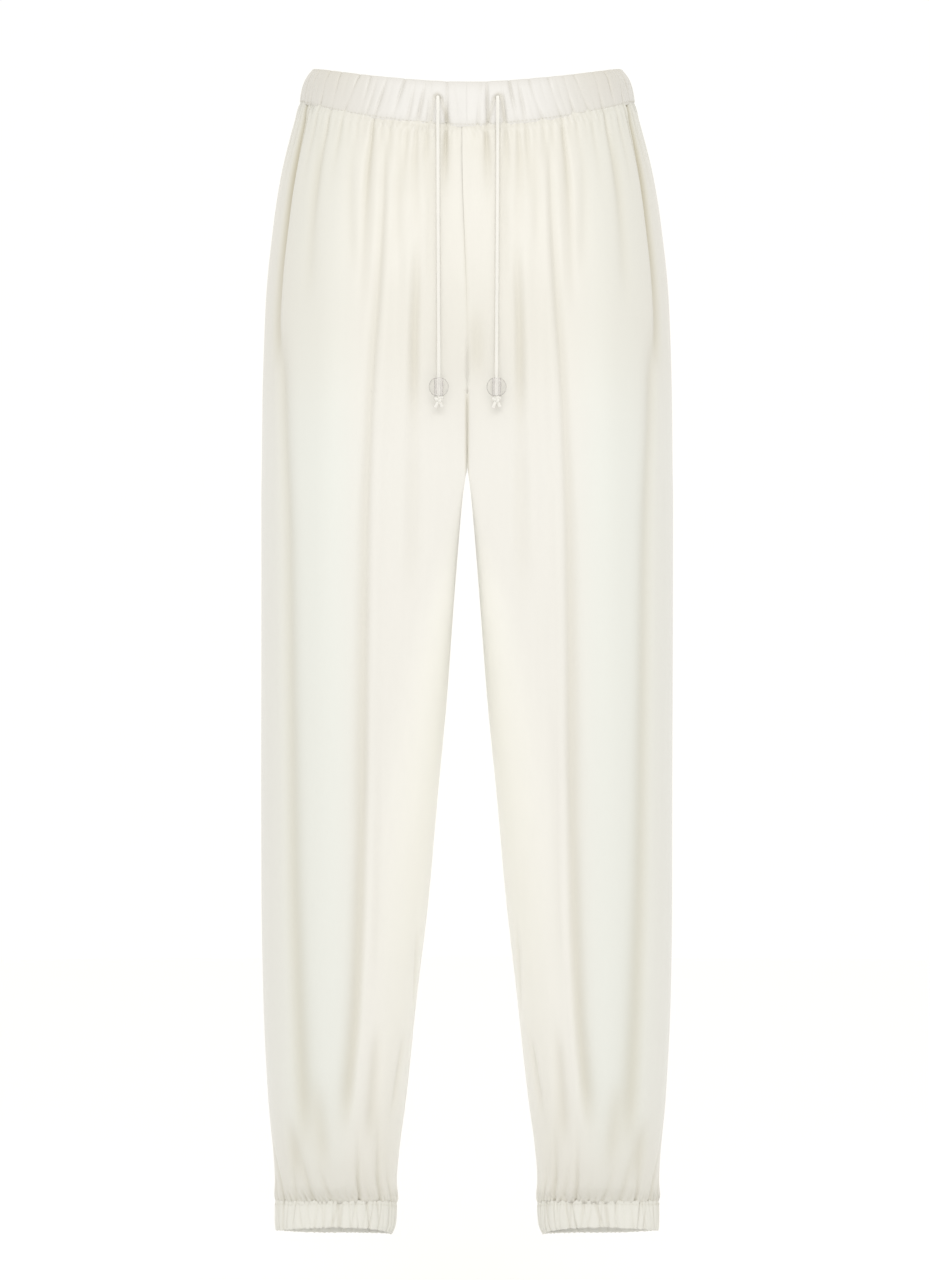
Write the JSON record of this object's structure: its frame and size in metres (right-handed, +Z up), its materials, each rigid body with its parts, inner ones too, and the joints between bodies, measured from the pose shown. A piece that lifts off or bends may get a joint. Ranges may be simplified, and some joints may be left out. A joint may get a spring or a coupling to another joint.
{
  "type": "tapered drawstring trousers with gathered cuffs",
  "caption": "Full-length pull-on trousers in fluid satin, hollow as worn, with a gathered elastic waist, beaded drawstring ends and gathered elastic ankle cuffs.",
  "frame": {"origin": "the centre of the waist, inside the gathered band, where the wearer holds the trousers up", "axes": "+Z up through the waist, +Y towards the back so that the front faces -Y, and +X towards the wearer's left"},
  "size_m": [0.3644, 0.2693, 1.034],
  "materials": {
    "satin": "ivory satin with a soft sheen",
    "drawstring": "ivory satin rouleau",
    "bead": "clear and polished"
  },
  "bodies": {
    "root": {"front_left": "satin", "front_right": "satin", "back_left": "satin", "back_right": "satin", "waistband_front": "satin", "waistband_back": "satin", "cuff_left": "satin", "cuff_right": "satin", "drawstring_left": "drawstring", "drawstring_right": "drawstring", "knot_left": "drawstring", "knot_right": "drawstring", "bead_left": "bead", "bead_right": "bead"}
  },
  "joints": []
}
